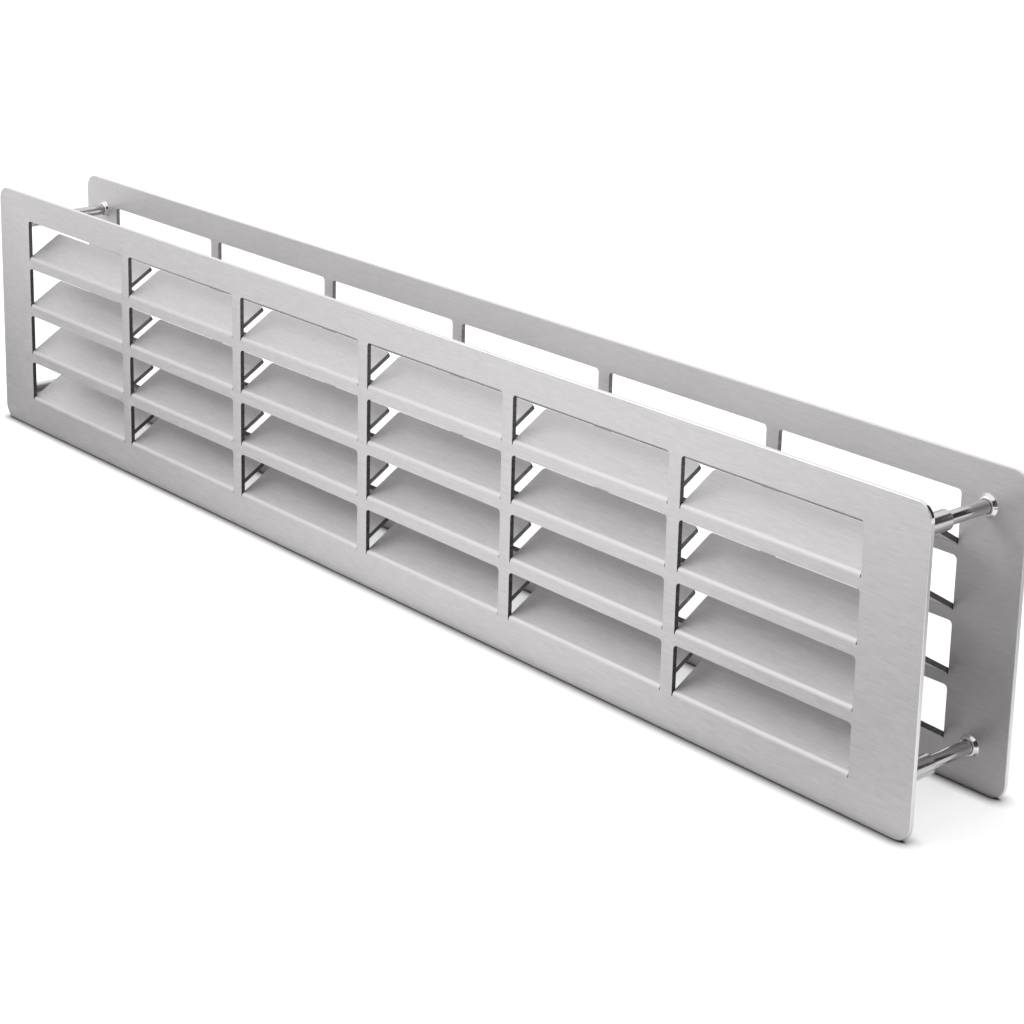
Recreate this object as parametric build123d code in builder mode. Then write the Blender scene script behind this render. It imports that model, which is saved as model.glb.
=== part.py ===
"""Two-part ventilation grille for a door leaf, in folded stainless steel sheet.

Two vented plates face each other across the door leaf. In each plate the tongues cut
out of the sheet are folded inwards and upwards, so that air passes and sight is blocked.
Four sleeves are welded behind the front plate. Four countersunk screws pass through the
rear plate, turn in the sleeves and draw the plates together onto the door leaf.

The object stands upright: X runs along it, Y from the front plate to the rear plate,
and Z up. The origin is at the middle of its footprint.
"""

import math
import os

from build123d import *

os.makedirs("parts", exist_ok=True)

# Driving dimensions of the sheet, in millimetres and degrees
plate_length = 457.0
plate_height = 92.0
sheet = 1.5
corner_radius = 5.0
edge_round = 0.3

# Driving dimensions of the openings and of the tongues folded out of them
columns = 6
rows = 4
end_margin = 21.2
top_margin = 10.1
bottom_margin = 11.1
rib_width = 4.8
slat_height = 3.2
opening_corner = 1.2
cut_width = 0.2
bend_inside = 0.4
bend_angle = 59.0
tongue_corner = 1.0

# Driving dimensions of the door leaf between the plates
door_shown = 37.2
door_thinnest = 32.0
door_thickest = 40.0

# Driving dimensions of the fasteners
fastener_end_inset = 12.4
fastener_edge_inset = 12.0
screw_diameter = 3.85
screw_length = 30.0
screw_point = 0.5
head_diameter = 7.5
head_rim = 0.25
head_sunk = 0.05
driver_span = 4.2
driver_slot = 1.1
driver_depth = 1.5
driver_taper = 12.0
sleeve_diameter = 5.8
sleeve_length = 20.0
sleeve_floor = 1.5
sleeve_mouth = 0.3
flange_diameter = 7.5
flange_thickness = 0.8
dimple_base_diameter = 6.5
dimple_tip_diameter = 5.1
dimple_rise = 1.2

# Named clearances
running_clearance = 0.075
seat_clearance = 0.05
hole_clearance = 0.15

# Sizes worked out from the driving dimensions
vent_width = plate_length - 2 * end_margin
vent_height = plate_height - top_margin - bottom_margin
column_pitch = (vent_width + rib_width) / columns
row_pitch = (vent_height + slat_height) / rows
opening_width = column_pitch - rib_width
opening_height = row_pitch - slat_height
front_inner = -door_shown / 2
rear_inner = door_shown / 2
rear_outer = rear_inner + sheet
bend_outside = bend_inside + sheet
bend_middle = bend_inside + sheet / 2
tongue_width = opening_width - 2 * cut_width
tongue_run = opening_height - cut_width - math.radians(bend_angle) * bend_middle
fastener_x = plate_length / 2 - fastener_end_inset
fastener_top = plate_height - fastener_edge_inset
fastener_bottom = fastener_edge_inset
screw_radius = screw_diameter / 2
sleeve_bore = screw_radius + running_clearance
plate_hole = screw_radius + hole_clearance

fasteners = {
    "top_left": (-fastener_x, fastener_top),
    "top_right": (fastener_x, fastener_top),
    "bottom_left": (-fastener_x, fastener_bottom),
    "bottom_right": (fastener_x, fastener_bottom),
}


def opening_outline():
    """One opening, seen from the front, from its fold line up to its two rounded corners."""
    with BuildSketch() as outline:
        Rectangle(opening_width, opening_height, align=(Align.CENTER, Align.MIN))
        fillet(outline.vertices().group_by(Axis.Y)[-1], radius=opening_corner)
    return outline.sketch


def tongue_section():
    """The folded tongue, cut across: it leaves the slat, bends inwards and rises."""
    with BuildSketch() as section:
        with BuildLine():
            outer_bend = CenterArc((bend_outside, 0), bend_outside, 180, -bend_angle)
            inner_bend = CenterArc((bend_outside, 0), bend_inside, 180, -bend_angle)
            upper_side = PolarLine(outer_bend @ 1, tongue_run, angle=90 - bend_angle)
            free_edge = PolarLine(upper_side @ 1, sheet, angle=-bend_angle)
            Line(free_edge @ 1, inner_bend @ 1)
            Line(inner_bend @ 0, outer_bend @ 0)
        make_face()
    return section.sketch


def vented_sheet():
    """The front plate's sheet, with every opening cut and every tongue folded."""
    face_plane = Plane.XZ.offset(-front_inner)
    fold_heights = [bottom_margin + row * row_pitch for row in range(rows)]
    first_tongue = -vent_width / 2 + cut_width
    with BuildPart() as vented:
        with BuildSketch(face_plane):
            with Locations((0, plate_height / 2)):
                RectangleRounded(plate_length, plate_height, corner_radius)
        extrude(amount=sheet)
        rims = vented.faces().filter_by(Axis.Y).edges()
        fillet(rims, radius=edge_round)

        with BuildSketch(face_plane):
            with Locations(*[(0, height) for height in fold_heights]):
                with GridLocations(column_pitch, 0, columns, 1):
                    add(opening_outline())
        extrude(amount=sheet, mode=Mode.SUBTRACT)

        for column in range(columns):
            with BuildSketch(Plane.YZ.offset(first_tongue + column * column_pitch)):
                with Locations(*[(front_inner - sheet, height) for height in fold_heights]):
                    add(tongue_section())
            extrude(amount=tongue_width)

        across_the_sheet = math.radians(-bend_angle)
        thickness_line = Axis((0, 0, 0), (0, math.cos(across_the_sheet), math.sin(across_the_sheet)))
        fillet(vented.edges().filter_by(thickness_line), radius=tongue_corner)
    return vented.part


def half_plane(x, y, z):
    """A plane through a fastener's axis: its x is the radius, its y the way to the front."""
    return Plane(origin=(x, y, z), x_dir=(1, 0, 0), z_dir=(0, 0, -1))


def turned(plane, points):
    """A half profile of (radius, distance) points, turned about a fastener's axis."""
    with BuildPart() as turning:
        with BuildSketch(plane):
            with BuildLine():
                Polyline(*points, close=True)
            make_face()
        revolve(axis=Axis(plane.origin, plane.y_dir))
    return turning.part


def make_front_plate(vented):
    with BuildPart() as front_plate:
        add(vented)
    front_plate.part.label = "front_plate"
    return front_plate.part


def make_rear_plate(vented):
    """The same vented sheet turned to face the front one, with four pressed screw seats."""
    seat_mouth = head_diameter / 2 + seat_clearance
    seat_flank = head_rim + head_sunk
    seat_bottom = seat_flank + seat_mouth - plate_hole
    dimple_profile = [
        (0, sheet / 2),
        (dimple_base_diameter / 2, sheet / 2),
        (dimple_base_diameter / 2, sheet),
        (dimple_tip_diameter / 2, sheet + dimple_rise),
        (0, sheet + dimple_rise),
    ]
    seat_profile = [
        (0, 0),
        (seat_mouth, 0),
        (seat_mouth, seat_flank),
        (plate_hole, seat_bottom),
        (plate_hole, sheet + dimple_rise),
        (0, sheet + dimple_rise),
    ]
    axes = [half_plane(x, rear_outer, z) for x, z in fasteners.values()]
    dimples = [turned(axis, dimple_profile) for axis in axes]
    seats = [turned(axis, seat_profile) for axis in axes]
    with BuildPart() as rear_plate:
        add(vented, rotation=(0, 0, 180))
        add(dimples)
        add(seats, mode=Mode.SUBTRACT)
    rear_plate.part.label = "rear_plate"
    return rear_plate.part


def make_sleeve(name, x, z):
    """A sleeve with a blind bore, its flange welded to the front plate's inner face."""
    outer = sleeve_diameter / 2
    mouth = front_inner + sleeve_length
    profile = [
        (sleeve_bore + sleeve_mouth, 0),
        (outer - sleeve_mouth, 0),
        (outer, sleeve_mouth),
        (outer, sleeve_length - flange_thickness),
        (flange_diameter / 2, sleeve_length - flange_thickness),
        (flange_diameter / 2, sleeve_length),
        (0, sleeve_length),
        (0, sleeve_length - sleeve_floor),
        (sleeve_bore, sleeve_length - sleeve_floor),
        (sleeve_bore, sleeve_mouth),
    ]
    with BuildPart() as sleeve:
        add(turned(half_plane(x, mouth, z), profile))
    sleeve.part.label = f"sleeve_{name}"
    return sleeve.part


def make_screw(name, x, z):
    """A countersunk screw with a cross recess, its head just below the rear plate's face."""
    head_radius = head_diameter / 2
    flank_bottom = head_rim + head_radius - screw_radius
    profile = [
        (0, 0),
        (head_radius, 0),
        (head_radius, head_rim),
        (screw_radius, flank_bottom),
        (screw_radius, screw_length - screw_point),
        (screw_radius - screw_point, screw_length),
        (0, screw_length),
    ]
    top = half_plane(x, rear_outer - head_sunk, z)
    recess_plane = Plane(origin=top.origin, x_dir=(1, 0, 0), z_dir=(0, -1, 0))
    with BuildPart() as screw:
        add(turned(top, profile))
        with BuildSketch(recess_plane):
            Rectangle(driver_span, driver_slot)
            Rectangle(driver_slot, driver_span)
        extrude(amount=driver_depth, taper=driver_taper, mode=Mode.SUBTRACT)
    screw.part.label = f"screw_{name}"
    return screw.part


vented = vented_sheet()
pieces = [make_front_plate(vented), make_rear_plate(vented)]
for corner, (corner_x, corner_z) in fasteners.items():
    pieces.append(make_sleeve(corner, corner_x, corner_z))
    pieces.append(make_screw(corner, corner_x, corner_z))

for piece in pieces:
    export_step(piece, f"parts/{piece.label}.step")
    print(f"{piece.label}: {piece.volume:.1f} cubic millimetres")

screw_reach = sleeve_length - (rear_outer - head_sunk - screw_length - front_inner)
print(f"the screws reach {screw_reach:.2f} mm into the sleeves")
print(f"the tongues rise over {tongue_run:.2f} mm of straight sheet")
print(f"the rear plate travels {door_thinnest - door_shown:.1f} to {door_thickest - door_shown:.1f} mm")
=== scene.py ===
# %% Load the frame
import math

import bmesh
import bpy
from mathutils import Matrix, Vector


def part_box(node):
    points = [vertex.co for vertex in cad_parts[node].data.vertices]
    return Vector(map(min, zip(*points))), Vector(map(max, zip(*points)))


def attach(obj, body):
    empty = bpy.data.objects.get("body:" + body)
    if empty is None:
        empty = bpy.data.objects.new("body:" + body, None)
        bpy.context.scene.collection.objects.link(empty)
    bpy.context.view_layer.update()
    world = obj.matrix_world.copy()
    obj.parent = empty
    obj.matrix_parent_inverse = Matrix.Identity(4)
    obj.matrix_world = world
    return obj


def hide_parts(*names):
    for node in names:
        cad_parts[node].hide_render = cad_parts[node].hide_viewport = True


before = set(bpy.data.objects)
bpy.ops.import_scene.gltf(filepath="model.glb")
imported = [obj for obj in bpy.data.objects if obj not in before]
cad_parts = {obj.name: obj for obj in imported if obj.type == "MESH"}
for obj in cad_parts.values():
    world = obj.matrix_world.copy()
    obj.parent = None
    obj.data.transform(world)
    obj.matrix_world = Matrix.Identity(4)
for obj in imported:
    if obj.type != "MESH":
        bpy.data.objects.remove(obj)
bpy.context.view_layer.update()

# %% [markdown]
# # A two-part door vent grille in brushed steel
#
# The grille is two vented plates of brushed stainless sheet that face each other across a
# door leaf. Four countersunk screws pass through the rear plate, turn in sleeves that are
# welded to the front plate, and draw the two plates together. Here it stands by itself,
# with no door between the plates, as it would in a shop's picture.
#
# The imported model, loaded above, gives the place of every part. This script gives each
# part its real surface: sheet with folded louvres and rounded rims, screws with a thread
# and a cross recess, turned sleeves, and the grain of brushed metal.

# %% [markdown]
# ## Sizes
#
# Blender works in metres here, and sheet metal is drawn in millimetres, so each size of
# the grille is a number of millimetres times MM. The studio is measured in metres. The
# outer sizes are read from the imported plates, so that the looks always stand where the
# construction does. The openings, the folds and the fasteners have the construction's own
# sizes, and the thread is that of an M4 screw.

# %% Sizes of the plates
MM = 0.001

front_low, front_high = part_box("front_plate")
plate_length = front_high.x - front_low.x
plate_height = front_high.z - front_low.z
front_face = front_low.y
rear_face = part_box("rear_plate")[1].y
sheet = 1.5 * MM
corner_radius = 5.0 * MM
rim_round = 0.3 * MM
print(f"each plate is {plate_length / MM:.0f} x {plate_height / MM:.0f} mm")
print(f"their outer faces are {(rear_face - front_face) / MM:.1f} mm apart")

# %% Sizes of the openings and of the louvres folded out of them
columns = 6
rows = 4
end_margin = 21.2 * MM
top_margin = 10.1 * MM
bottom_margin = 11.1 * MM
rib_width = 4.8 * MM
slat_height = 3.2 * MM
opening_corner = 1.2 * MM
slit = 0.2 * MM
bend_inside = 0.4 * MM
bend_angle = math.radians(59)
louvre_corner = 1.0 * MM
cut_round = 0.09 * MM

vent_width = plate_length - 2 * end_margin
vent_height = plate_height - top_margin - bottom_margin
column_pitch = (vent_width + rib_width) / columns
row_pitch = (vent_height + slat_height) / rows
opening_width = column_pitch - rib_width
opening_height = row_pitch - slat_height
bend_outside = bend_inside + sheet
louvre_width = opening_width - 2 * slit
louvre_run = opening_height - slit - bend_angle * (bend_inside + sheet / 2)
print(f"{columns * rows} openings of {opening_width / MM:.1f} x {opening_height / MM:.1f} mm")
print(f"each louvre rises {louvre_run / MM:.2f} mm beyond its bend")

# %% Sizes of the fasteners
corners = ("top_left", "top_right", "bottom_left", "bottom_right")
screw_radius = 1.925 * MM
screw_length = 30.0 * MM
thread_root = 1.6 * MM
thread_pitch = 0.7 * MM
thread_length = 11.0 * MM
head_radius = 3.75 * MM
head_rim = 0.25 * MM
screw_point = 0.5 * MM
recess_span = 4.2 * MM
recess_slot = 1.1 * MM
recess_depth = 1.5 * MM
recess_taper = math.radians(12)
sleeve_radius = 2.9 * MM
sleeve_bore = 2.0 * MM
sleeve_floor = 1.5 * MM
sleeve_mouth = 0.3 * MM
flange_radius = 3.75 * MM
flange_thickness = 0.8 * MM
seat_mouth = 3.8 * MM
seat_hole = 2.075 * MM
seat_flank = 0.3 * MM
dimple_base = 3.25 * MM
dimple_tip = 2.55 * MM
dimple_rise = 1.2 * MM


def middle_of(node):
    """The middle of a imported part's box."""
    low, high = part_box(node)
    return (low + high) / 2


for corner in corners:
    place = middle_of(f"screw_{corner}")
    print(f"the {corner} screw turns about x {place.x / MM:.1f}, z {place.z / MM:.1f} mm")

# %% [markdown]
# ## The camera
#
# The camera looks down on the grille from the front right. Its lens is long, so the
# grille tapers only a little towards its far end. A Track To constraint could aim it, but
# would decide its roll as well, so a matrix turns it here: level first, then rolled by
# just over a degree. A small shift of the lens keeps the upright edges close to upright,
# as a product photographer would with a shift lens.

# %% Camera
camera_azimuth = math.radians(48.682)
camera_elevation = math.radians(14.891)
camera_roll = math.radians(1.332)
camera_place = Vector((574.17, -462.53, 286.37)) * MM
camera_sensor = 36
camera_lens = 83.816
camera_shift = -0.2

camera_data = bpy.data.cameras.new("camera")
camera_data.sensor_width = camera_sensor
camera_data.lens = camera_lens
camera_data.shift_y = camera_shift
camera = bpy.data.objects.new("camera", camera_data)
bpy.context.scene.collection.objects.link(camera)
bpy.context.scene.camera = camera

towards_camera = Vector((
    math.sin(camera_azimuth) * math.cos(camera_elevation),
    -math.cos(camera_azimuth) * math.cos(camera_elevation),
    math.sin(camera_elevation),
))
level = (-towards_camera).to_track_quat("-Z", "Y").to_matrix().to_4x4()
camera.matrix_world = (
    Matrix.Translation(camera_place) @ level @ Matrix.Rotation(camera_roll, 4, "Z")
)
print("the camera stands", round(camera_place.length, 3), "m from the middle of the grille's foot")

# %% [markdown]
# ## The studio
#
# Polished metal shows what stands around it, so the light for metal is mostly a matter of
# what there is to reflect. A pale floor and a pale sky give the steel its even light grey.
# Two dark walls on the right, which the camera itself doesn't see, draw the dark bands along
# the screws and sleeves. Soft dark cards just above the floor are painted shadows: only the
# steel's reflections show them, as the floor's shade near the plates, and they shade the
# plates gently. A broad soft lamp at the front left gives the shading a direction.
#
# The surroundings come first below, and the lamp after them.

# %% Helpers of the studio
floor_size = 12.0
floor_lift = 0.55
mirror_lift = 0.34
floor_grey = 0.93
contact_shadow_grey = 0.08
contact_start = 0.5
floor_gap = 5 * MM
sky_light = 0.8


def new_object(name, mesh):
    """Links a mesh to the scene as an object at the origin."""
    made = bpy.data.objects.new(name, mesh)
    bpy.context.scene.collection.objects.link(made)
    return made


def mesh_of(bm, name):
    """Turns a bmesh into a mesh and frees it."""
    mesh = bpy.data.meshes.new(name)
    bm.to_mesh(mesh)
    bm.free()
    return mesh


def grey(level):
    """An opaque grey."""
    return (level, level, level, 1)


def plain_paint(name, level):
    """A dull grey paint without any shine. Returns it with its tree and its shader."""
    made = bpy.data.materials.new(name)
    made.use_nodes = True
    shader = made.node_tree.nodes["Principled BSDF"]
    shader.inputs["Base Color"].default_value = grey(level)
    shader.inputs["Roughness"].default_value = 1.0
    shader.inputs["Specular IOR Level"].default_value = 0.0
    return made, made.node_tree, shader


def seen_rays(tree, unseen, seen, mirrored):
    """One value for rays that only carry light, others for what is seen and mirrored."""
    rays = tree.nodes.new("ShaderNodeLightPath")
    start = tree.nodes.new("ShaderNodeValue")
    start.outputs[0].default_value = unseen
    level = start.outputs[0]
    answers = (
        ("Is Glossy Ray", mirrored),
        ("Is Transmission Ray", mirrored),
        ("Is Camera Ray", seen),
    )
    for kind, value in answers:
        choice = tree.nodes.new("ShaderNodeMix")
        choice.inputs["B"].default_value = value
        tree.links.new(rays.outputs[kind], choice.inputs["Factor"])
        tree.links.new(level, choice.inputs["A"])
        level = choice.outputs["Result"]
    return level


# %% [markdown]
# ### Floor and sky
#
# The floor is one large square, and the sky is the world's background. More lamps could
# burn both out to white, but they would bleach the steel as well. Light Path does it
# without them, because it tells the floor and the sky which ray is asking: what the camera
# sees directly is white, while the light that falls on the grille, and the floor that it
# mirrors, are softer. Ambient Occlusion paints a contact shadow under the plates' edges: it
# darkens the floor's colour and dims its glow there, so that they don't seem to float.

# %% Floor
floor_shape = bmesh.new()
bmesh.ops.create_grid(floor_shape, x_segments=1, y_segments=1, size=floor_size / 2)
floor = new_object("floor", mesh_of(floor_shape, "floor"))
floor_paint, floor_tree, floor_shader = plain_paint("pale_floor", floor_grey)
floor_shader.inputs["Emission Color"].default_value = grey(1)
# Painted contact shadow: within floor_gap of the grille the floor's colour turns dark grey and its
# glow fades.
contact = floor_tree.nodes.new("ShaderNodeAmbientOcclusion")
contact.inputs["Distance"].default_value = floor_gap
clear = floor_tree.nodes.new("ShaderNodeMapRange")
clear.inputs["From Min"].default_value = contact_start
floor_tree.links.new(contact.outputs["AO"], clear.inputs["Value"])
shade = floor_tree.nodes.new("ShaderNodeMix")
shade.data_type = "RGBA"
shade.inputs["A"].default_value = grey(contact_shadow_grey)
shade.inputs["B"].default_value = grey(floor_grey)
floor_tree.links.new(clear.outputs["Result"], shade.inputs["Factor"])
floor_tree.links.new(shade.outputs["Result"], floor_shader.inputs["Base Color"])
lift = floor_tree.nodes.new("ShaderNodeMath")
lift.operation = "MULTIPLY"
floor_tree.links.new(clear.outputs["Result"], lift.inputs[0])
floor_tree.links.new(seen_rays(floor_tree, 0.0, floor_lift, mirror_lift), lift.inputs[1])
floor_tree.links.new(lift.outputs[0], floor_shader.inputs["Emission Strength"])
floor.data.materials.append(floor_paint)
print(f"the floor is {floor_size:.0f} m wide")
print(f"it darkens within {floor_gap / MM:.0f} mm of the grille")

# %% Sky
world = bpy.data.worlds.new("studio")
bpy.context.scene.world = world
world.use_nodes = True
sky = world.node_tree.nodes["Background"]
sky.inputs["Color"].default_value = grey(1)
sky_level = seen_rays(world.node_tree, sky_light, 1.0, 1.0)
world.node_tree.links.new(sky_level, sky.inputs["Strength"])
print("the sky looks white and lights the grille at", sky_light)

# %% [markdown]
# ### What the steel mirrors
#
# Each wall is an upright line, spun part of the way round the grille. A flat wall could do
# the same, but its ends would stand farther off than its middle. A card is a painted shadow
# of the floor near the grille, which only the steel's reflections show. It is a rectangle
# that fades from its middle outwards, because the edge of a plain one would draw a hard
# line across the brushed steel. Each card lies on a level of its own, since two surfaces
# in one plane would hide each other in patches.

# %% Dark walls
wall_radius = 1.2
wall_high = 1.3
wall_grey = 0.04
wall_steps = 12


def dark_wall(name, first, last, low):
    """A curved dark wall on the right, between two angles from the front. The camera sees it
    only in reflections."""
    shape = bmesh.new()
    foot = shape.verts.new((0, -wall_radius, low))
    top = shape.verts.new((0, -wall_radius, wall_high))
    edge = shape.edges.new((foot, top))
    bmesh.ops.rotate(shape, verts=[foot, top], matrix=Matrix.Rotation(first, 3, "Z"))
    bmesh.ops.spin(shape, geom=[foot, top, edge], axis=(0, 0, 1), angle=last - first,
                   steps=wall_steps)
    wall = new_object(name, mesh_of(shape, name))
    wall.data.materials.append(plain_paint(name, wall_grey)[0])
    wall.visible_camera = False
    return wall


walls = (
    dark_wall("front_wall", first=math.radians(30), last=math.radians(75), low=0.02),
    dark_wall("rear_wall", first=math.radians(118), last=math.radians(165), low=0.12),
)
print("dark walls:", ", ".join(wall.name for wall in walls))

# %% Soft dark cards, painted shadows of the floor
card_lift = 0.5 * MM
shadow_card_grey = 0.02


def painted_shadow_card(name, level, place, half_length, half_width, strength, turn=0.0):
    """A painted shadow: a dark spot with a soft rim above the floor, each on its own level,
    that stands for the floor's shade in the steel. Only reflections show it."""
    shape = bmesh.new()
    bmesh.ops.create_grid(shape, x_segments=1, y_segments=1, size=1)
    card = new_object(name, mesh_of(shape, name))
    card.matrix_world = (
        Matrix.Translation((*place, level * card_lift)) @ Matrix.Rotation(turn, 4, "Z")
        @ Matrix.Diagonal((half_length, half_width, 1, 1))
    )
    paint, tree, shader = plain_paint(name, shadow_card_grey)
    middle = tree.nodes.new("ShaderNodeTexCoord")
    spot = tree.nodes.new("ShaderNodeTexGradient")
    spot.gradient_type = "SPHERICAL"
    tree.links.new(middle.outputs["Object"], spot.inputs["Vector"])
    cover = tree.nodes.new("ShaderNodeMapRange")
    cover.interpolation_type = "SMOOTHSTEP"
    cover.inputs["To Max"].default_value = strength
    tree.links.new(spot.outputs["Fac"], cover.inputs["Value"])
    tree.links.new(cover.outputs["Result"], shader.inputs["Alpha"])
    card.data.materials.append(paint)
    card.visible_camera = False
    card.visible_diffuse = False
    card.visible_shadow = False
    return card


cards = (
    painted_shadow_card("left_shadow_card", level=1, place=(-0.29, -0.07), half_length=0.35, half_width=0.14,
              strength=0.75, turn=math.radians(18)),
    painted_shadow_card("right_shadow_card", level=2, place=(0.18, -0.11), half_length=0.13, half_width=0.12,
              strength=0.85),
    painted_shadow_card("side_shadow_card", level=3, place=(0.36, 0.12), half_length=0.17, half_width=0.14,
              strength=0.55),
    painted_shadow_card("dimple_shadow_card", level=4, place=(0.47, -0.08), half_length=0.17, half_width=0.13,
              strength=0.85),
)
print("dark cards:", ", ".join(card.name for card in cards))

# %% [markdown]
# ### The lamp
#
# A small lamp would draw hard shadows of the slats on the louvres. An area lamp more than
# twice as wide as the grille spreads them until only a soft shading is left.

# %% Lamp


def soft_lamp(name, place, aim, width, height, watts):
    """A broad soft lamp that shines from one point towards another."""
    light = bpy.data.lights.new(name, "AREA")
    light.shape = "RECTANGLE"
    light.size = width
    light.size_y = height
    light.energy = watts
    lamp = bpy.data.objects.new(name, light)
    bpy.context.scene.collection.objects.link(lamp)
    direction = Vector(aim) - Vector(place)
    lamp.matrix_world = (
        Matrix.Translation(place) @ direction.to_track_quat("-Z", "Y").to_matrix().to_4x4()
    )
    return lamp


key_lamp = soft_lamp("key_lamp", place=(-0.80, -1.02, 0.99), aim=(0, 0, 0.05), width=1.0,
                     height=0.5, watts=4.2)
print(f"the lamp gives {key_lamp.data.energy:.1f} W, {key_lamp.location.length:.2f} m away")
bpy.context.scene.view_settings.view_transform = "Standard"

# %% [markdown]
# ## Brushed steel
#
# Brushing drags fine scratches along the sheet. A picture of brushed metal could be laid
# over it, but it would repeat itself and blur when seen closely, so the grain is a noise
# pattern, squeezed in two directions and stretched along the third. It changes the colour
# and the roughness a little, and lifts the surface by a few thousandths of a millimetre.
# Across the grain the scratches spread a reflection much further than along it, and the
# shader's anisotropy does that. It needs a direction on the surface, which a UV map on
# each sheet gives: u runs along the grain.

# %% Material helpers
noise_low = 0.3
noise_high = 0.7


def new_material(name, color, roughness):
    """A material with one metal shader. Returns it with its tree and its shader."""
    made = bpy.data.materials.new(name)
    made.use_nodes = True
    shader = made.node_tree.nodes["Principled BSDF"]
    shader.inputs["Base Color"].default_value = (*color, 1)
    shader.inputs["Metallic"].default_value = 1.0
    shader.inputs["Roughness"].default_value = roughness
    return made, made.node_tree, shader


def grain(tree, scale, detail=2.0):
    """Noise on Object coordinates, with a scale of its own along each axis, in 1 per metre."""
    place = tree.nodes.new("ShaderNodeTexCoord")
    mapping = tree.nodes.new("ShaderNodeMapping")
    mapping.inputs["Scale"].default_value = scale
    noise = tree.nodes.new("ShaderNodeTexNoise")
    noise.inputs["Scale"].default_value = 1.0
    noise.inputs["Detail"].default_value = detail
    tree.links.new(place.outputs["Object"], mapping.inputs["Vector"])
    tree.links.new(mapping.outputs["Vector"], noise.inputs["Vector"])
    return noise.outputs["Fac"]


def spread(tree, fac, low, high):
    """Maps the busy middle of a noise pattern to the range from low to high."""
    node = tree.nodes.new("ShaderNodeMapRange")
    node.inputs["From Min"].default_value = noise_low
    node.inputs["From Max"].default_value = noise_high
    node.inputs["To Min"].default_value = low
    node.inputs["To Max"].default_value = high
    tree.links.new(fac, node.inputs["Value"])
    return node.outputs["Result"]


def tinted(tree, fac, dark, light):
    """A colour between two greys."""
    node = tree.nodes.new("ShaderNodeMix")
    node.data_type = "RGBA"
    node.inputs["A"].default_value = (*dark, 1)
    node.inputs["B"].default_value = (*light, 1)
    tree.links.new(fac, node.inputs["Factor"])
    return node.outputs["Result"]


def raised(tree, shader, fac, height):
    """Lifts the surface by a pattern, up to a height in metres."""
    bump = tree.nodes.new("ShaderNodeBump")
    bump.inputs["Strength"].default_value = 1.0
    bump.inputs["Distance"].default_value = height
    tree.links.new(fac, bump.inputs["Height"])
    tree.links.new(bump.outputs["Normal"], shader.inputs["Normal"])


# %% Brushed sheet
brushed_dark = (0.58, 0.565, 0.569)
brushed_light = (0.71, 0.691, 0.695)
brushed_smooth = 0.49
brushed_rough = 0.61
fine_scratches = (400, 5000, 5000)
coarse_scratches = (150, 2000, 2000)
scratch_relief = 0.004 * MM
brushing_stretch = 0.5
across_grain = 0.25
# The cut edges' dark greys are partly laser oxide and partly painted shade of the shadowed walls
# in the openings.
cut_dark = (0.13, 0.128, 0.126)
cut_light = (0.21, 0.206, 0.203)
cut_stripes = (1500, 60, 1500)
stripe_relief = 0.01 * MM
polish_waves = (400, 400, 400)
polish_smooth = 0.10
polish_rough = 0.18
polish_relief = 0.004 * MM


def averaged(tree, first, second):
    """The mean of two patterns."""
    half = tree.nodes.new("ShaderNodeMath")
    half.operation = "MULTIPLY"
    half.inputs[1].default_value = 0.5
    tree.links.new(second, half.inputs[0])
    mean = tree.nodes.new("ShaderNodeMath")
    mean.operation = "MULTIPLY_ADD"
    mean.inputs[1].default_value = 0.5
    tree.links.new(first, mean.inputs[0])
    tree.links.new(half.outputs[0], mean.inputs[2])
    return mean.outputs[0]


def brushed_sheet():
    """The sheet's broad faces, brushed lengthways with fine and coarse scratches."""
    made, tree, shader = new_material("grained_steel", (0.65, 0.632, 0.636), 0.55)
    brushing = averaged(tree, grain(tree, fine_scratches), grain(tree, coarse_scratches))
    color = tinted(tree, spread(tree, brushing, 0, 1), brushed_dark, brushed_light)
    tree.links.new(color, shader.inputs["Base Color"])
    roughness = spread(tree, brushing, brushed_smooth, brushed_rough)
    tree.links.new(roughness, shader.inputs["Roughness"])
    raised(tree, shader, brushing, scratch_relief)
    shader.inputs["Anisotropic"].default_value = brushing_stretch
    shader.inputs["Anisotropic Rotation"].default_value = across_grain
    tangent = tree.nodes.new("ShaderNodeTangent")
    tangent.direction_type = "UV_MAP"
    tangent.uv_map = "grain"
    tree.links.new(tangent.outputs["Tangent"], shader.inputs["Tangent"])
    return made


def cut_oxide_and_shade():
    """The sheet's cut edges, with fine stripes across them. Their dark grey is partly the laser's
    oxide and partly painted shade, standing for the shadowed walls of the openings.
    """
    made, tree, shader = new_material("cut_oxide_and_shade", (0.17, 0.167, 0.165), 0.36)
    stripes = grain(tree, cut_stripes, detail=1.0)
    color = tinted(tree, spread(tree, stripes, 0, 1), cut_dark, cut_light)
    tree.links.new(color, shader.inputs["Base Color"])
    raised(tree, shader, stripes, stripe_relief)
    return made


def polished_steel():
    """The outer rim, which is polished, and the seats, which the press has smoothed."""
    made, tree, shader = new_material("polished_steel", (0.84, 0.835, 0.83), 0.14)
    waves = grain(tree, polish_waves)
    roughness = spread(tree, waves, polish_smooth, polish_rough)
    tree.links.new(roughness, shader.inputs["Roughness"])
    raised(tree, shader, waves, polish_relief)
    return made


brushed = brushed_sheet()
cut = cut_oxide_and_shade()
polished = polished_steel()
print("sheet finishes:", brushed.name, cut.name, polished.name)

# %% [markdown]
# ## Bright turned steel
#
# A lathe leaves fine rings around its work. They are far too fine to model, so they are
# drawn in the material. The fasteners all lie along Y, so a noise that changes quickly
# along Y and not at all across it draws the rings on every one of them.

# %% Turned steel
lathe_rings = (0, 9000, 0)
ring_smooth = 0.8
ring_rough = 1.25


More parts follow.
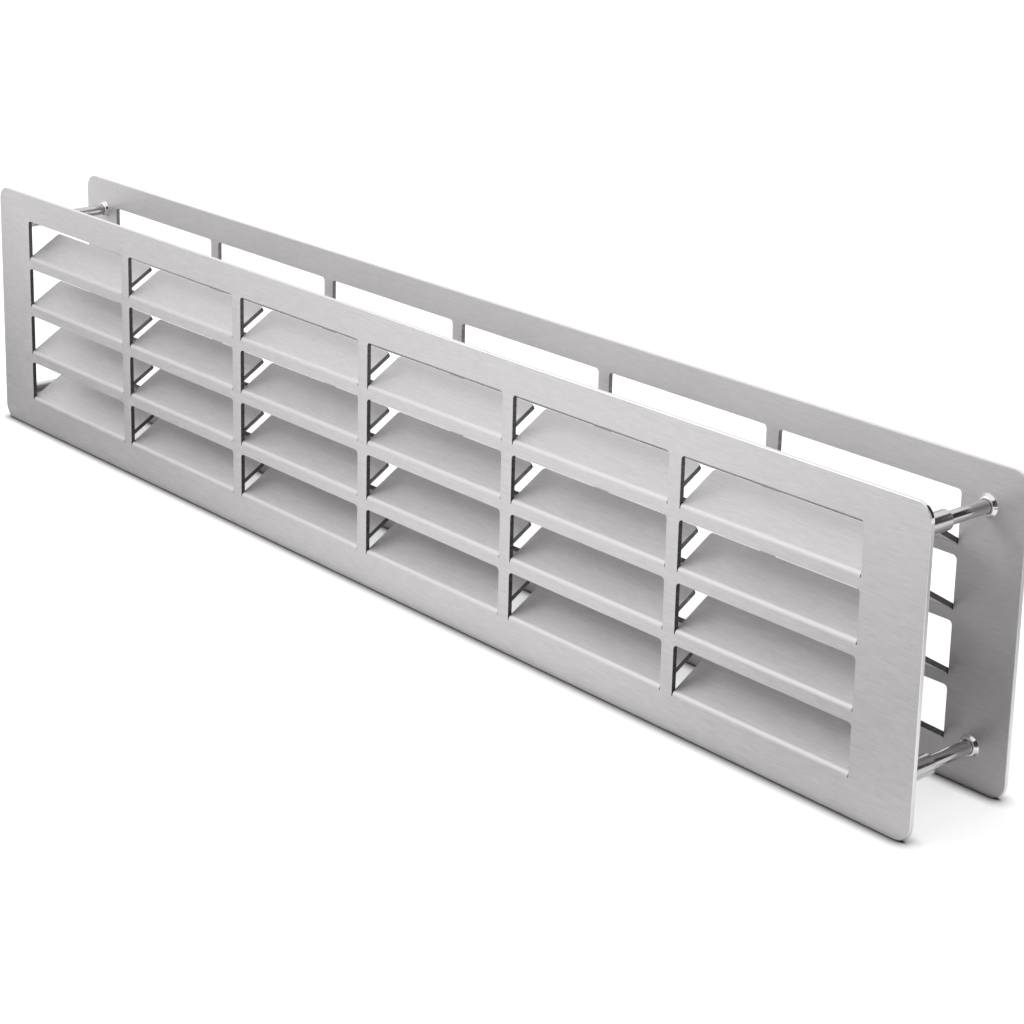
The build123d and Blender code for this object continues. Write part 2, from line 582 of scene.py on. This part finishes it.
def turned_steel(name, color, roughness, ring_height):
    """Bright steel with a lathe's rings, which vary its roughness and its height."""
    made, tree, shader = new_material(name, color, roughness)
    rings = grain(tree, lathe_rings, detail=3.0)
    ringed = spread(tree, rings, roughness * ring_smooth, roughness * ring_rough)
    tree.links.new(ringed, shader.inputs["Roughness"])
    raised(tree, shader, rings, ring_height)
    return made


sleeve_steel = turned_steel("turned_sleeve", (0.68, 0.665, 0.67), 0.2, 0.002 * MM)
screw_steel = turned_steel("bright_screw", (0.62, 0.61, 0.615), 0.16, 0.0008 * MM)
print("fastener finishes:", sleeve_steel.name, "and", screw_steel.name)

# %% [markdown]
# ## Cutting the sheet
#
# A plate starts as a blank that lies flat on the bench: x runs along it, y up it, and z
# towards whoever will look at it. Boolean cuts could punch its openings, but a fold needs
# one clean edge to start from, and a cut can leave that edge in pieces. Instead the
# outline and each opening are a rectangle whose corners are rounded by bevelling the
# corner points. Only their outlines are kept, and a triangle fill then lays one flat sheet
# around all the holes, as a laser would leave it.

# %% Outlines and the flat blank
corner_steps = 10
opening_corner_steps = 4
seat_steps = 48
tolerance = 0.01 * MM
merge_distance = 0.001 * MM


def rounded_outline(bm, width, height, middle_x, bottom, radius, steps, all_corners=False):
    """Adds a rectangle with its upper two corners rounded, or all four."""
    made = bmesh.ops.create_grid(bm, x_segments=1, y_segments=1, size=0.5)["verts"]
    bmesh.ops.scale(bm, vec=(width, height, 1), verts=made)
    bmesh.ops.translate(bm, vec=(middle_x, bottom + height / 2, 0), verts=made)
    middle_y = bottom + height / 2
    rounded = [v for v in made if all_corners or v.co.y > middle_y]
    bmesh.ops.bevel(bm, geom=rounded, offset=radius, offset_type="OFFSET", segments=steps,
                    profile=0.5, affect="VERTICES", material=-1)


def column_middles():
    """The middle of each column of openings, along the plate."""
    return [(column - (columns - 1) / 2) * column_pitch for column in range(columns)]


def fold_heights():
    """The height of each row's fold line, which is its openings' lower edge."""
    return [bottom_margin + row * row_pitch for row in range(rows)]


def flat_blank(seats=()):
    """The blank with its openings, and with a round hole at each screw seat. Each opening's
    lower edge is divided where the slits beside its louvre end."""
    bm = bmesh.new()
    rounded_outline(bm, plate_length, plate_height, 0, 0, corner_radius, corner_steps,
                    all_corners=True)
    for x in column_middles():
        for fold in fold_heights():
            rounded_outline(bm, opening_width, opening_height, x, fold, opening_corner,
                            opening_corner_steps)
    for x in column_middles():
        for side in (-1, 1):
            foot = x + side * louvre_width / 2
            whole = bm.verts[:] + bm.edges[:] + bm.faces[:]
            bmesh.ops.bisect_plane(bm, geom=whole, plane_co=(foot, 0, 0), plane_no=(1, 0, 0))
    bmesh.ops.delete(bm, geom=bm.faces[:], context="FACES_KEEP_BOUNDARY")
    for seat in seats:
        bmesh.ops.create_circle(bm, segments=seat_steps, radius=seat_mouth,
                                matrix=Matrix.Translation(seat))
    bmesh.ops.triangle_fill(bm, edges=bm.edges[:], normal=(0, 0, 1), use_beauty=True)
    return bm


trial = flat_blank()
print("the flat blank has", len(trial.faces), "faces")
trial.free()

# %% [markdown]
# ## Folding the louvres
#
# A box in each opening could pass for a louvre, but the bend that joins it to the sheet is
# what catches the light. So each opening's lower edge is spun about an axis behind the
# sheet, which draws the bend as a press brake would. The last edge is then pulled out
# straight, and its free corners are rounded. The sheet gets its thickness afterwards, from
# a Solidify modifier, so that the inner side of each bend comes out tighter than its outer
# side by just one sheet.

# %% Louvres
bend_steps = 10
louvre_corner_steps = 5


def edges_along(bm, height):
    """The louvres' edges on one fold line, between the feet of the slits."""
    found = []
    for edge in bm.edges:
        level = all(abs(v.co.y - height) < tolerance and abs(v.co.z) < tolerance
                    for v in edge.verts)
        if level and abs(edge.calc_length() - louvre_width) < tolerance:
            found.append(edge)
    return found


def fold_louvres(bm):
    """Bends every tongue inwards, pulls it out straight and rounds its free corners."""
    along_louvre = Vector((0, math.cos(bend_angle), -math.sin(bend_angle)))
    for fold in fold_heights():
        root = edges_along(bm, fold)
        ends = {v for edge in root for v in edge.verts}
        bend = bmesh.ops.spin(bm, geom=root + list(ends), cent=(0, fold, -bend_outside),
                              axis=(1, 0, 0), angle=-bend_angle, steps=bend_steps)
        last = [g for g in bend["geom_last"] if isinstance(g, bmesh.types.BMEdge)]
        pulled = bmesh.ops.extrude_edge_only(bm, edges=last)["geom"]
        tips = [g for g in pulled if isinstance(g, bmesh.types.BMVert)]
        bmesh.ops.translate(bm, vec=along_louvre * louvre_run, verts=tips)
        bmesh.ops.bevel(bm, geom=tips, offset=louvre_corner, offset_type="OFFSET",
                        segments=louvre_corner_steps, profile=0.5, affect="VERTICES",
                        material=-1)


def with_thickness(bm, name):
    """The sheet's mesh after Solidify. Material 0 is its faces, material 1 its cut edges."""
    bmesh.ops.recalc_face_normals(bm, faces=bm.faces[:])
    bm.normal_update()
    widest = max(bm.faces, key=lambda face: face.calc_area())
    if widest.normal.z < 0:
        bmesh.ops.reverse_faces(bm, faces=bm.faces[:])
    thin = new_object(name, mesh_of(bm, name))
    thin.data.materials.append(brushed)
    thin.data.materials.append(cut)
    solid = thin.modifiers.new("sheet", "SOLIDIFY")
    solid.thickness = sheet
    solid.offset = -1
    solid.use_even_offset = True
    solid.material_offset_rim = 1
    bpy.context.view_layer.update()
    view = thin.evaluated_get(bpy.context.evaluated_depsgraph_get())
    thick = bmesh.new()
    thick.from_mesh(bpy.data.meshes.new_from_object(view))
    bpy.data.objects.remove(thin)
    return thick


# %% [markdown]
# ## Rounding the rims
#
# Sheet that has been cut and tumbled has a small rounding on every rim, and that is what
# draws the fine bright and dark lines along its edges. A Bevel modifier could do it, with
# a weight for every edge. The operator is simpler here, because it takes one group of
# edges at a time: the outer rim, which hands touch, is rounded more than the edges of the
# openings and louvres.

# %% Rims
rim_steps = 3
cut_steps = 2


def on_outline(vert):
    """True for a point of the plate's outer outline, with the blank flat."""
    beside = abs(vert.co.x) > plate_length / 2 - corner_radius
    below_or_above = vert.co.y < corner_radius or vert.co.y > plate_height - corner_radius
    return beside or below_or_above


def bevel_edges(bm, edges, offset, steps):
    """Rounds some edges with an arc of the given number of steps."""
    bmesh.ops.bevel(bm, geom=edges, offset=offset, offset_type="OFFSET", segments=steps,
                    profile=0.5, affect="EDGES", material=-1, clamp_overlap=False)


def round_rims(bm):
    """Rounds every rim, and lets none stand proud of the face. The outer wall is polished,
    the other walls keep the dark cut edge, partly oxide and partly painted shade."""
    outer, inner = [], []
    for edge in bm.edges:
        if {face.material_index for face in edge.link_faces} == {0, 1}:
            at_outline = all(on_outline(v) for v in edge.verts)
            (outer if at_outline else inner).append(edge)
    for face in bm.faces:
        if face.material_index == 1 and all(on_outline(v) for v in face.verts):
            face.material_index = 2
    bevel_edges(bm, outer, rim_round, rim_steps)
    bevel_edges(bm, [edge for edge in inner if edge.is_valid], cut_round, cut_steps)
    for vert in bm.verts:
        vert.co.z = min(vert.co.z, 0)


# %% [markdown]
# ## Pressed screw seats
#
# The rear plate is pressed inwards around each screw: outside it makes a countersunk seat
# for the head, and inside a short dimple that the photo's view shows as a bright ring. A
# displaced sheet would need many small faces to show it, while rings follow its round
# shape with few. The hole in the blank already has the seat's width. Its wall is taken
# away, its inner rim is drawn in to the dimple's foot, and rings are pulled from there over
# the dimple's lip, down the hole and up the seat's cone to the outer rim.

# %% Screw seats
crease_round = 0.2 * MM
lip_round = 0.4 * MM
hole_round = 0.06 * MM
seat_round = 0.08 * MM


def off_axis(vert, centre):
    """How far a point of the flat blank lies from a screw's axis."""
    return (Vector((vert.co.x, vert.co.y, 0)) - centre).length


def ring_scale(bm, ring, centre, factor):
    """Widens or narrows a ring about a screw's axis."""
    bmesh.ops.scale(bm, vec=(factor, factor, 1), verts=ring, space=Matrix.Translation(-centre))


def next_ring(bm, edges, centre, radius, depth):
    """Pulls a new ring from a ring of edges, at its own radius and depth behind the face."""
    pulled = bmesh.ops.extrude_edge_only(bm, edges=edges)["geom"]
    ring = [g for g in pulled if isinstance(g, bmesh.types.BMVert)]
    ring_scale(bm, ring, centre, radius / off_axis(ring[0], centre))
    for vert in ring:
        vert.co.z = -depth
    return [g for g in pulled if isinstance(g, bmesh.types.BMEdge)
            and all(v in ring for v in g.verts)]


def ring_at(bm, centre, radius, depth):
    """The edges of the ring at a radius and a depth."""
    def on_ring(vert):
        return (abs(off_axis(vert, centre) - radius) < tolerance
                and abs(vert.co.z + depth) < tolerance)
    return [edge for edge in bm.edges if all(on_ring(v) for v in edge.verts)]


def press_seat(bm, centre):
    """Shapes one screw seat around a hole in the thick blank."""
    lip = sheet + dimple_rise
    cone_foot = seat_flank + seat_mouth - seat_hole
    around = {v for v in bm.verts if abs(off_axis(v, centre) - seat_mouth) < tolerance}
    wall = [face for face in bm.faces if all(v in around for v in face.verts)]
    bmesh.ops.delete(bm, geom=wall, context="FACES")
    deep = [v for v in around if v.co.z < -sheet / 2]
    foot = [edge for edge in bm.edges if all(v in deep for v in edge.verts)]
    ring_scale(bm, deep, centre, dimple_base / seat_mouth)
    ring = foot
    for radius, depth in ((dimple_tip, lip), (seat_hole, lip), (seat_hole, cone_foot),
                          (seat_mouth, seat_flank), (seat_mouth, 0)):
        ring = next_ring(bm, ring, centre, radius, depth)
    bmesh.ops.remove_doubles(bm, verts=bm.verts[:], dist=merge_distance)
    for face in bm.faces:
        if all(off_axis(v, centre) < seat_mouth + tolerance for v in face.verts):
            face.material_index = 2
    for radius, depth, rounding in ((dimple_base, sheet, crease_round),
                                    (dimple_tip, lip, lip_round),
                                    (seat_hole, lip, hole_round),
                                    (seat_mouth, 0, seat_round)):
        bevel_edges(bm, ring_at(bm, centre, radius, depth), rounding, rim_steps)


# %% [markdown]
# ## The two plates
#
# Both plates come from the same blank. Standing up turns the bench's y into height. The
# rear plate is also turned round, so that its louvres face those of the front plate. The UV
# map is laid while the sheet still lies flat: u runs along the grain, v up the sheet and on
# over the folds. A Weighted Normal modifier keeps the broad faces flat beside small rims.

# %% Plates
plate_sharp_angle = math.radians(50)
end_slope = 0.7
full_weight = 100


def lay_grain(bm):
    """A UV map in metres. On the ends of the sheet, which face along x, u runs up them."""
    grain_map = bm.loops.layers.uv.new("grain")
    bm.normal_update()
    for face in bm.faces:
        end = abs(face.normal.x) > end_slope
        for loop in face.loops:
            x, y, z = loop.vert.co
            loop[grain_map].uv = (y, z) if end else (x, y - z)


def stand_up(bm, face_y, turned):
    """Stands the flat sheet up with its face at face_y, turned to the rear if asked."""
    bmesh.ops.rotate(bm, verts=bm.verts[:], matrix=Matrix.Rotation(math.pi / 2, 3, "X"))
    if turned:
        bmesh.ops.rotate(bm, verts=bm.verts[:], matrix=Matrix.Rotation(math.pi, 3, "Z"))
    bmesh.ops.translate(bm, vec=(0, face_y, 0), verts=bm.verts[:])


def make_plate(name, node, body, face_y, turned, seats=()):
    """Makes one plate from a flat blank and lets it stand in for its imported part."""
    bm = flat_blank(seats)
    fold_louvres(bm)
    bm = with_thickness(bm, name)
    for seat in seats:
        press_seat(bm, seat)
    round_rims(bm)
    lay_grain(bm)
    stand_up(bm, face_y, turned)
    for face in bm.faces:
        face.smooth = True
    open_edges = sum(1 for edge in bm.edges if not edge.is_manifold)
    print(name, "has", len(bm.faces), "faces and", open_edges, "open edges")
    plate = new_object(name, mesh_of(bm, name))
    for finish in (brushed, cut, polished):
        plate.data.materials.append(finish)
    plate.data.set_sharp_from_angle(angle=plate_sharp_angle)
    flat = plate.modifiers.new("flat_faces", "WEIGHTED_NORMAL")
    flat.weight = full_weight
    flat.keep_sharp = True
    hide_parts(node)
    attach(plate, body)
    return plate


seats = []
for corner in corners:
    place = middle_of(f"screw_{corner}")
    seats.append(Vector((-place.x, place.z, 0)))

make_plate("vented_front", "front_plate", "front", front_face, False)
make_plate("vented_rear", "rear_plate", "rear", rear_face, True, seats)

# %% [markdown]
# ## Turned parts
#
# A turned part is a half profile, spun once about its axis. Each point of the profile is a
# radius and a depth, and depth runs from the part's rear end towards the front plate. A
# Screw modifier could spin it too, but the steps that follow need the mesh itself, so an
# operator makes it at once. The corners are then broken by a small bevel, because turned
# work is never left quite sharp.

# %% Turned shapes
turn_steps = 64
break_steps = 3
corner_turn = math.radians(25)
fastener_sharp_angle = math.radians(40)


def turned(start, profile):
    """Spins a half profile about the axis through start."""
    bm = bmesh.new()
    points = [bm.verts.new(start + Vector((radius, -depth, 0))) for radius, depth in profile]
    lines = [bm.edges.new(pair) for pair in zip(points, points[1:])]
    bmesh.ops.spin(bm, geom=points + lines, cent=start, axis=(0, -1, 0), angle=math.tau,
                   steps=turn_steps, use_merge=True)
    bmesh.ops.remove_doubles(bm, verts=bm.verts[:], dist=merge_distance)
    bmesh.ops.recalc_face_normals(bm, faces=bm.faces[:])
    return bm


def break_corners(bm, amount):
    """Rounds the rings at which the profile turns by more than corner_turn."""
    sharp = [edge for edge in bm.edges if edge.calc_face_angle() > corner_turn]
    bevel_edges(bm, sharp, amount, break_steps)


def fastener(bm, name, node, body, steel):
    """Makes a fastener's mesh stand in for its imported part."""
    open_edges = sum(1 for edge in bm.edges if not edge.is_manifold)
    print(name, "has", len(bm.faces), "faces and", open_edges, "open edges")
    for face in bm.faces:
        face.smooth = True
    piece = new_object(name, mesh_of(bm, name))
    piece.data.materials.append(steel)
    piece.data.set_sharp_from_angle(angle=fastener_sharp_angle)
    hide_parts(node)
    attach(piece, body)
    return piece


# %% [markdown]
# ## Sleeves
#
# Each sleeve is a blind tube with a chamfered mouth and a flange, which is welded to the
# back of the front plate. A Boolean could drill a solid pin. Here one profile runs out of
# the bore, over the mouth and back along the outside, and gives both at once.

# %% Sleeves
sleeve_break = 0.12 * MM


def make_sleeve(corner):
    """Makes one sleeve, from the floor of its bore round to its flange."""
    node = f"sleeve_{corner}"
    low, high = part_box(node)
    length = high.y - low.y
    mouth = middle_of(node)
    mouth.y = high.y
    profile = (
        (0, length - sleeve_floor),
        (sleeve_bore, length - sleeve_floor),
        (sleeve_bore, sleeve_mouth),
        (sleeve_bore + sleeve_mouth, 0),
        (sleeve_radius - sleeve_mouth, 0),
        (sleeve_radius, sleeve_mouth),
        (sleeve_radius, length - flange_thickness),
        (flange_radius, length - flange_thickness),
        (flange_radius, length),
        (0, length),
    )
    bm = turned(mouth, profile)
    break_corners(bm, sleeve_break)
    return fastener(bm, f"turned_sleeve_{corner}", node, "front", sleeve_steel)


for corner in corners:
    make_sleeve(corner)

# %% [markdown]
# ## Screws
#
# A screw has three parts: the turned head and shank, the thread, and the cross recess. A
# bumpy material would leave the thread's outline straight, so the thread is a real shape:
# one pitch of its profile, swept along a helix by a spin that moves on a little with each
# step. The recess is cut by two crossed blades that narrow towards the bottom.

# %% Threads
thread_steps = 32
thread_half_angle = math.radians(30)
thread_flank = (screw_radius - thread_root) * math.tan(thread_half_angle)
thread_crest = thread_pitch / 8


def cut_square(bm, place, normal):
    """Cuts away what lies beyond a plane, and closes the cut."""
    whole = bm.verts[:] + bm.edges[:] + bm.faces[:]
    bmesh.ops.bisect_plane(bm, geom=whole, plane_co=place, plane_no=normal, clear_outer=True)
    bmesh.ops.holes_fill(bm, edges=[edge for edge in bm.edges if edge.is_boundary], sides=0)


def add_thread(bm, start, first, last):
    """Adds a right-handed thread between two depths below start."""
    thread = bmesh.new()
    rise = thread_pitch - thread_flank
    profile = (
        (thread_root, 0),
        (thread_root, rise - thread_crest - thread_flank),
        (screw_radius, rise - thread_crest),
        (screw_radius, rise),
        (thread_root, thread_pitch),
    )
    head_end = start - Vector((0, first - thread_pitch, 0))
    points = [thread.verts.new(head_end + Vector((radius, -depth, 0)))
              for radius, depth in profile]
    lines = [thread.edges.new(pair) for pair in zip(points, points[1:])]
    turns = math.ceil((last - first) / thread_pitch) + 2
    bmesh.ops.spin(thread, geom=points + lines, cent=start, axis=(0, -1, 0),
                   dvec=(0, -thread_pitch / thread_steps, 0), angle=turns * math.tau,
                   steps=turns * thread_steps)
    bmesh.ops.remove_doubles(thread, verts=thread.verts[:], dist=merge_distance)
    cut_square(thread, start - Vector((0, first, 0)), (0, 1, 0))
    cut_square(thread, start - Vector((0, last, 0)), (0, -1, 0))
    bmesh.ops.recalc_face_normals(thread, faces=thread.faces[:])
    swept = mesh_of(thread, "thread")
    bm.from_mesh(swept)
    bpy.data.meshes.remove(swept)


# %% Cross recesses
blade_above = 0.2 * MM
blade_round = 0.12 * MM


def blade(start, upright):
    """One arm of the cutter, as an object. It is narrower at its bottom."""
    bm = bmesh.new()
    height = recess_depth + blade_above
    top = [size + 2 * blade_above * math.tan(recess_taper) for size in (recess_span, recess_slot)]
    bottom = [size - 2 * recess_depth * math.tan(recess_taper)
              for size in (recess_span, recess_slot)]
    made = bmesh.ops.create_cube(bm, size=1)["verts"]
    bmesh.ops.scale(bm, vec=(top[0], height, top[1]), verts=made)
    deep = [v for v in made if v.co.y < 0]
    bmesh.ops.scale(bm, vec=(bottom[0] / top[0], 1, bottom[1] / top[1]), verts=deep)
    below_top = [edge for edge in bm.edges if any(v in deep for v in edge.verts)]
    bevel_edges(bm, below_top, blade_round, break_steps)
    if upright:
        bmesh.ops.rotate(bm, verts=bm.verts[:], matrix=Matrix.Rotation(math.pi / 2, 3, "Y"))
    bmesh.ops.translate(bm, verts=bm.verts[:],
                        vec=start + Vector((0, blade_above - height / 2, 0)))
    return new_object("blade", mesh_of(bm, "blade"))


def cut_recess(bm, start):
    """Cuts the cross recess into a screw's head."""
    solid = new_object("uncut_screw", mesh_of(bm, "uncut_screw"))
    blades = [blade(start, upright) for upright in (False, True)]
    for arm in blades:
        cutting = solid.modifiers.new("recess", "BOOLEAN")
        cutting.operation = "DIFFERENCE"
        cutting.solver = "EXACT"
        cutting.object = arm
    bpy.context.view_layer.update()
    view = solid.evaluated_get(bpy.context.evaluated_depsgraph_get())
    done = bmesh.new()
    done.from_mesh(bpy.data.meshes.new_from_object(view))
    for helper in (solid, *blades):
        bpy.data.objects.remove(helper)
    return done


# %% Screws
screw_break = 0.07 * MM


def make_screw(corner):
    """Makes one screw: turned shape, cross recess and thread."""
    node = f"screw_{corner}"
    top = middle_of(node)
    top.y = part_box(node)[1].y
    thread_start = screw_length - thread_length
    thread_end = screw_length - screw_point
    tip = screw_radius - screw_point
    profile = (
        (0, 0),
        (head_radius, 0),
        (head_radius, head_rim),
        (screw_radius, head_rim + head_radius - screw_radius),
        (screw_radius, thread_start),
        (thread_root, thread_start + screw_radius - thread_root),
        (thread_root, screw_length - (thread_root - tip)),
        (tip, screw_length),
        (0, screw_length),
    )
    bm = turned(top, profile)
    break_corners(bm, screw_break)
    bm = cut_recess(bm, top)
    add_thread(bm, top, thread_start + screw_break, thread_end)
    return fastener(bm, f"cross_{node}", node, node, screw_steel)


for corner in corners:
    make_screw(corner)
